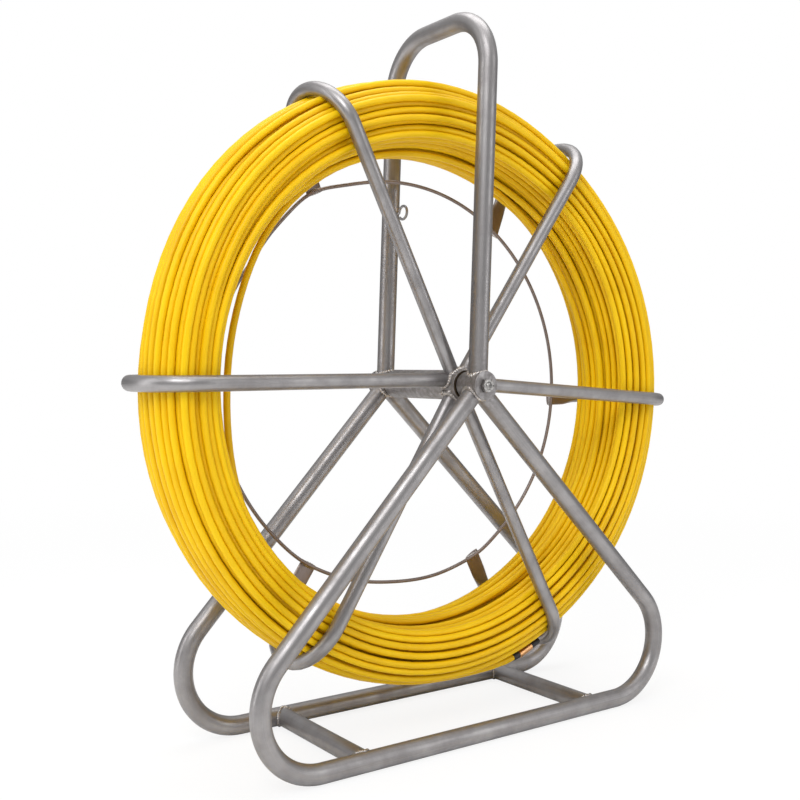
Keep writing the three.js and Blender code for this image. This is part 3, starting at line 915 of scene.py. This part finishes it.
def makeSpokes():
    sides = reelSizes["sides"]
    for i, loop in enumerate(spokeLoops):
        path = loopPath(loop)
        widths, flat = loopWidths(loop, path, i in reelSizes["creasedLoops"])
        sideways = np.cross(outward(math.radians(loop["turn"])), yAxis)
        part = sweep(path, widths, sideways, sides)
        marks = {"dull": np.repeat(flat, sides)}
        name, node = f"spokeLoop{i + 1}", f"spoke_loop_{i + 1}"
        makePiece(name, [part], satinSilver, "reel", [node], 50.0, marks)


def makeRing():
    count, sides = 240, 12
    turn = np.arange(count) * 2 * math.pi / count
    radius, plane = ringAt(turn)
    points = hub + outward(turn) * radius[:, None] + yAxis * plane[:, None]
    part = sweep(points, reelSizes["ringWire"], yAxis, sides, closed=True)
    marks = {"dull": np.ones(count * sides)}
    makePiece("rearRing", [part], satinSilver, "reel", ["rear_ring"], 40.0, marks)


makeSpokes()
makeRing()
makeBand("reel_hub_tube", "reelHubTube", hubRadius - reelSizes["hubWall"], reelSizes["hubEdge"], "reel")


# A lump of weld metal: a sphere's outline swept along a short random line, its widths the sine of
# the polar angle.
def weldLump(middle, size, rng):
    axis = unit(rng.normal(size=3))
    polar = np.radians(np.linspace(14, 166, 9))
    stretch = rng.uniform(0.8, 1.25)
    points = middle - axis * (size * stretch * np.cos(polar))[:, None]
    widths = np.column_stack([size * np.sin(polar) * rng.uniform(0.7, 1.0), size * np.sin(polar)])
    return sweep(points, widths, unit(np.cross(axis, rng.normal(size=3))), 10)


# Beads where the front arms meet the hub tube, lumps between them, and short beads along the ring
# on each tab.
def makeReelWelds():
    s = reelSizes
    beads = []
    for i, loop in enumerate(spokeLoops):
        rng = np.random.default_rng(80 + i)
        turn = math.radians(loop["turn"])
        start = hub + yAxis * (loop["front"] + s["frontSlope"]) + zAxis * loop["rise"]
        heading = outward(turn) * 0.27 - yAxis * s["frontSlope"]  # as steep as the front arm
        reach = hubRadius + s["beadClear"]
        beads.append(weldBead(start, heading, s["spoke"], hub, yAxis, reach, s["hubBead"], 50 + i, 20, 90))
        for side in (-1, 1):
            for deep in s["lumpPlanes"]:
                place = turn + side * math.radians(rng.uniform(*s["lumpTurns"]))
                plane = loop["front"] + s["frontSlope"] + deep
                middle = hub + outward(place) * (hubRadius + s["lumpClear"]) + yAxis * plane
                beads.append(weldLump(middle, s["hubLump"] * rng.uniform(0.6, 1.1), rng))
            tabTurn = turn + math.radians(loop["tabTurn"])
            share = np.linspace(-1, 1, 19)
            turns = tabTurn + share * s["tabBeadSpan"] / ringShape["radius"]
            radius, plane = ringAt(turns)
            radius, plane = radius + side * s["tabBeadApart"], plane + s["tabBeadRise"]
            ring = outward(turns) * radius[:, None] + yAxis * plane[:, None]
            swell = np.sqrt(np.clip(1 - share**2, 0.03, 1))
            width = s["tabBead"] * swell * (1 + 0.18 * np.sin(np.arange(19) * 1.9 + rng.uniform(0, 6)))
            beads.append(sweep(hub + ring, width, yAxis, 8))
    makePiece("reelWelds", beads, weldSilver, "reel", (), 80.0)


makeReelWelds()
print("reel made")

rodSizes = {
    "diameter": 0.0071,
    "stations": 96,  # to each turn
    "sides": 10,
    "acrossPitch": 0.0080,
    "layerPitch": 0.0079,
    "middle": (0.0012, 0.2889),  # of the section: along the axle, and radius
    "halfWide": 0.0488,
    "halfDeep": 0.0371,
    "squareness": 2.85,
    "wanderAcross": 0.0030,
    "wanderDeep": 0.0026,
    "wanderKnots": 3,  # to each turn
    "settling": 150,  # steps
    "unsoftened": 12,  # the last of them
    "closest": 1.01,  # diameters from turn to turn
    "eagerness": 0.8,
    "softness": 0.25,
    "seed": 11,
    "leaving": 4,  # stations over which the last turn leaves for its fitting
    "loosePlane": 0.010,
    "collar": 0.009,
    "collarWall": 0.0006,
}
# The loose inner turn: its turn round the axis in degrees, and its radius there.
looseTurn = {
    "turns": (-72, -40, -10, 15, 37, 60, 80, 94, 115, 140, 160, 180, 190, 205, 225),
    "radii": (0.264, 0.262, 0.259, 0.250, 0.2430, 0.2440, 0.2462, 0.2492, 0.2515, 0.2480, 0.2378, 0.2364,
              0.2395, 0.2495, 0.2600),
}
# How the pack strays from a true ring, as sums of waves: the cosine and sine heights of the first,
# second, third wave and so on, round the axis.
packShape = {
    "radius": [(-0.60, -2.59), (3.33, -2.42), (0.91, 0.10), (0.10, 0.28), (0.12, -0.05), (-0.48, 0.24)],
    "plane": [(-1.54, 0.33), (-0.54, 0.85)],
    "depth": [(1.31, 2.74)],
    "hollows": [(172, 24, 0.10), (46, 17, 0.11)],  # turn, width and share taken off the inner half
}


def waves(heights, turn):
    total = 0.0
    for number, (cosine, sine) in enumerate(heights, 1):
        total = total + cosine * np.cos(number * turn) + sine * np.sin(number * turn)
    return total / 1000  # the heights are in millimetres


# From a place in the even section to the pack's true place at that turn, or back again: shifted by
# the waves, stretched in depth, and drawn back on the inner side by bell-shaped hollows.
def strayed(places, turn, back=False):
    middle = rodSizes["middle"][1]
    plane, radius = waves(packShape["plane"], turn), waves(packShape["radius"], turn)
    stretch = 1 + waves(packShape["depth"], turn) / rodSizes["halfDeep"]
    deep = places[..., 1] - middle - radius * back
    hollow = 1.0
    for place, width, share in packShape["hollows"]:
        apart = (np.degrees(turn) - place + 180) % 360 - 180
        hollow = hollow - share * np.exp(-(apart / width) ** 2)
    stretch = stretch * np.where(deep < 0, hollow, 1.0)
    if back:
        return np.stack([places[..., 0] - plane, middle + deep / stretch], axis=-1)
    return np.stack([places[..., 0] + plane, middle + radius + deep * stretch], axis=-1)


# Starting places of the turns in the section: layers from the inside out, each filled across its
# width, there and back, as the rod would be laid.
def layTurns(middle, halfWide, halfDeep):
    s = rodSizes
    places = []
    layers = int(2 * halfDeep / s["layerPitch"]) + 1
    for i, deep in enumerate(np.linspace(-1, 1, layers) * halfDeep * 0.97):
        width = halfWide * (1 - min(1, abs(deep) / halfDeep) ** s["squareness"]) ** (1 / s["squareness"])
        count = max(2, int(2 * width / s["acrossPitch"]) + 1)
        row = [(middle[0] + across, middle[1] + deep) for across in np.linspace(-width, width, count)]
        places += row if i % 2 == 0 else row[::-1]
    return np.array(places)


# Slow random drift of the rod's place in the section, from random knots joined and smoothed.
def drifting(turns, stations, rng):
    s = rodSizes
    knots = np.arange(turns * s["wanderKnots"] + 2) / s["wanderKnots"]
    drift = rng.normal(size=(len(knots), 2)) * (s["wanderAcross"], s["wanderDeep"])
    along = np.arange(turns * stations) / stations
    smooth = np.hanning(25) / np.hanning(25).sum()
    joined = [np.convolve(np.interp(along, knots, drift[:, i]), smooth, "same") for i in range(2)]
    return np.column_stack(joined).reshape(turns, stations, 2)


# The turns pushed apart until none overlap, kept in the section's outline: a rounded rectangle
# where the powers of the two distances from its middle add up to one.
def settled(target, pinned, middle, halfWide, halfDeep):
    s = rodSizes
    places = target.copy()
    turns = len(places)
    free = ~pinned[..., None]
    for step in range(s["settling"]):
        apart = places[:, None] - places[None]
        distance = np.sqrt((apart**2).sum(axis=-1)) + 1e-9
        overlap = np.clip(s["diameter"] * s["closest"] - distance, 0, None)
        overlap[np.arange(turns), np.arange(turns)] = 0
        push = (apart / distance[..., None] * (overlap * 0.5)[..., None]).sum(axis=1)
        places += np.where(free, push * s["eagerness"], 0.0)
        line = places.reshape(-1, 2)
        if step < s["settling"] - s["unsoftened"]:
            bent = np.pad(line, ((3, 3), (0, 0)), mode="edge")
            softened = (sum(bent[k:k + len(line)] for k in range(7)) / 7).reshape(places.shape)
            places = np.where(free, places * (1 - s["softness"]) + softened * s["softness"], places)
        offset = (places - middle) / (halfWide, halfDeep)
        size = (np.abs(offset) ** s["squareness"]).sum(axis=-1) ** (1 / s["squareness"])
        shrink = np.where(~pinned & (size > 1), 1 / np.maximum(size, 1e-6), 1.0)
        places = middle + (places - middle) * shrink[..., None]
    return places


# Where the ferrule takes the rod in, as (along, radius) and the turn round the axis.
def rodEnd():
    ferrule, cap = (sum(nodeBox(name)) / 2 for name in ("rod_end_ferrule", "rod_end_cap"))
    heading = unit(cap - ferrule)
    low, high = nodeBox("rod_end_ferrule")
    length = np.linalg.norm((high - low)[[0, 2]])
    place = ferrule - heading * (length / 2 - 0.0035) - hub
    return np.array([place[1], np.hypot(place[0], place[2])]), math.atan2(place[2], place[0])


def windRod():
    s = rodSizes
    rng = np.random.default_rng(s["seed"])
    radius = s["diameter"] / 2
    middle = np.array(s["middle"])
    halfWide, halfDeep = s["halfWide"] - radius, s["halfDeep"] - radius
    places = layTurns(middle, halfWide, halfDeep)
    turns, stations = len(places), s["stations"]
    end, startTurn = rodEnd()
    turn = startTurn + np.arange(stations) * 2 * math.pi / stations
    fitting = strayed(end, startTurn, back=True)
    power = s["squareness"]
    edge = halfDeep * (1 - abs((fitting[0] - middle[0]) / halfWide) ** power) ** (1 / power)
    places[-1] = (fitting[0], middle[1] + edge)
    follow = np.vstack([places[1:], places[-1:]])
    share = (np.arange(stations) / stations)[None, :, None]
    target = places[:, None] * (1 - share) + follow[:, None] * share + drifting(turns, stations, rng)
    reach = np.interp(np.degrees(turn), looseTurn["turns"], looseTurn["radii"], period=360)
    smooth = np.hanning(9) / np.hanning(9).sum()
    reach = np.convolve(np.pad(reach, 4, mode="wrap"), smooth, "valid")
    target[0] = strayed(np.column_stack([np.full(stations, s["loosePlane"]), reach]), turn, back=True)
    ease = np.clip((np.arange(stations) - (stations - s["leaving"])) / s["leaving"], 0, 1)
    ease = (ease * ease * (3 - 2 * ease))[:, None]
    target[-1] = target[-1] * (1 - ease) + fitting * ease
    pinned = np.zeros((turns, stations), dtype=bool)
    pinned[-1] = ease[:, 0] > 0
    pinned[0] = True
    line = settled(target, pinned, middle, halfWide, halfDeep).reshape(-1, 2)
    for _ in range(3):
        line[1:-1] = 0.25 * line[:-2] + 0.5 * line[1:-1] + 0.25 * line[2:]
    line = np.vstack([line, fitting])
    turn = startTurn + np.arange(len(line)) * 2 * math.pi / stations
    line = strayed(line, turn)
    path = hub + outward(turn) * line[:, 1:] + yAxis * line[:, :1]
    length = np.linalg.norm(np.diff(path, axis=0), axis=1).sum()
    print(f"rod wound: {turns} turns, {length:.1f} m")
    knot = rng.random(turns * 2 + 2)
    tone = np.interp(np.arange(len(line)) / stations * 2, np.arange(len(knot)), knot)
    marks = {"turnTone": np.repeat(tone, s["sides"])}
    part = sweep(path, radius, yAxis, s["sides"])
    makePiece("woundRod", [part], yellowSheath, "reel", ["rod_coil"], 60.0, marks)
    heading = unit(path[-1] - path[-2])
    collar = path[-1] + heading * np.linspace(-s["collar"], 0.0012, 7)[:, None]
    swell = radius + s["collarWall"] * np.sin(np.linspace(0.35, 2.8, 7)) ** 0.5
    part = sweep(collar, swell, yAxis, 20)
    makePiece("rodEndCollar", [part], blackRubber, "reel", (), 50.0)


windRod()
for node, material in (
    ("front_bush", bronzeBush), ("rear_bush", bronzeBush), ("rod_end_ferrule", turnedBrass),
    ("rod_end_thread", zincPlate), ("rod_end_cap", blackRubber),
):
    mesh = frame["nodes"][node].data
    mesh.materials.clear()
    mesh.materials.append(material)
print("rod made")
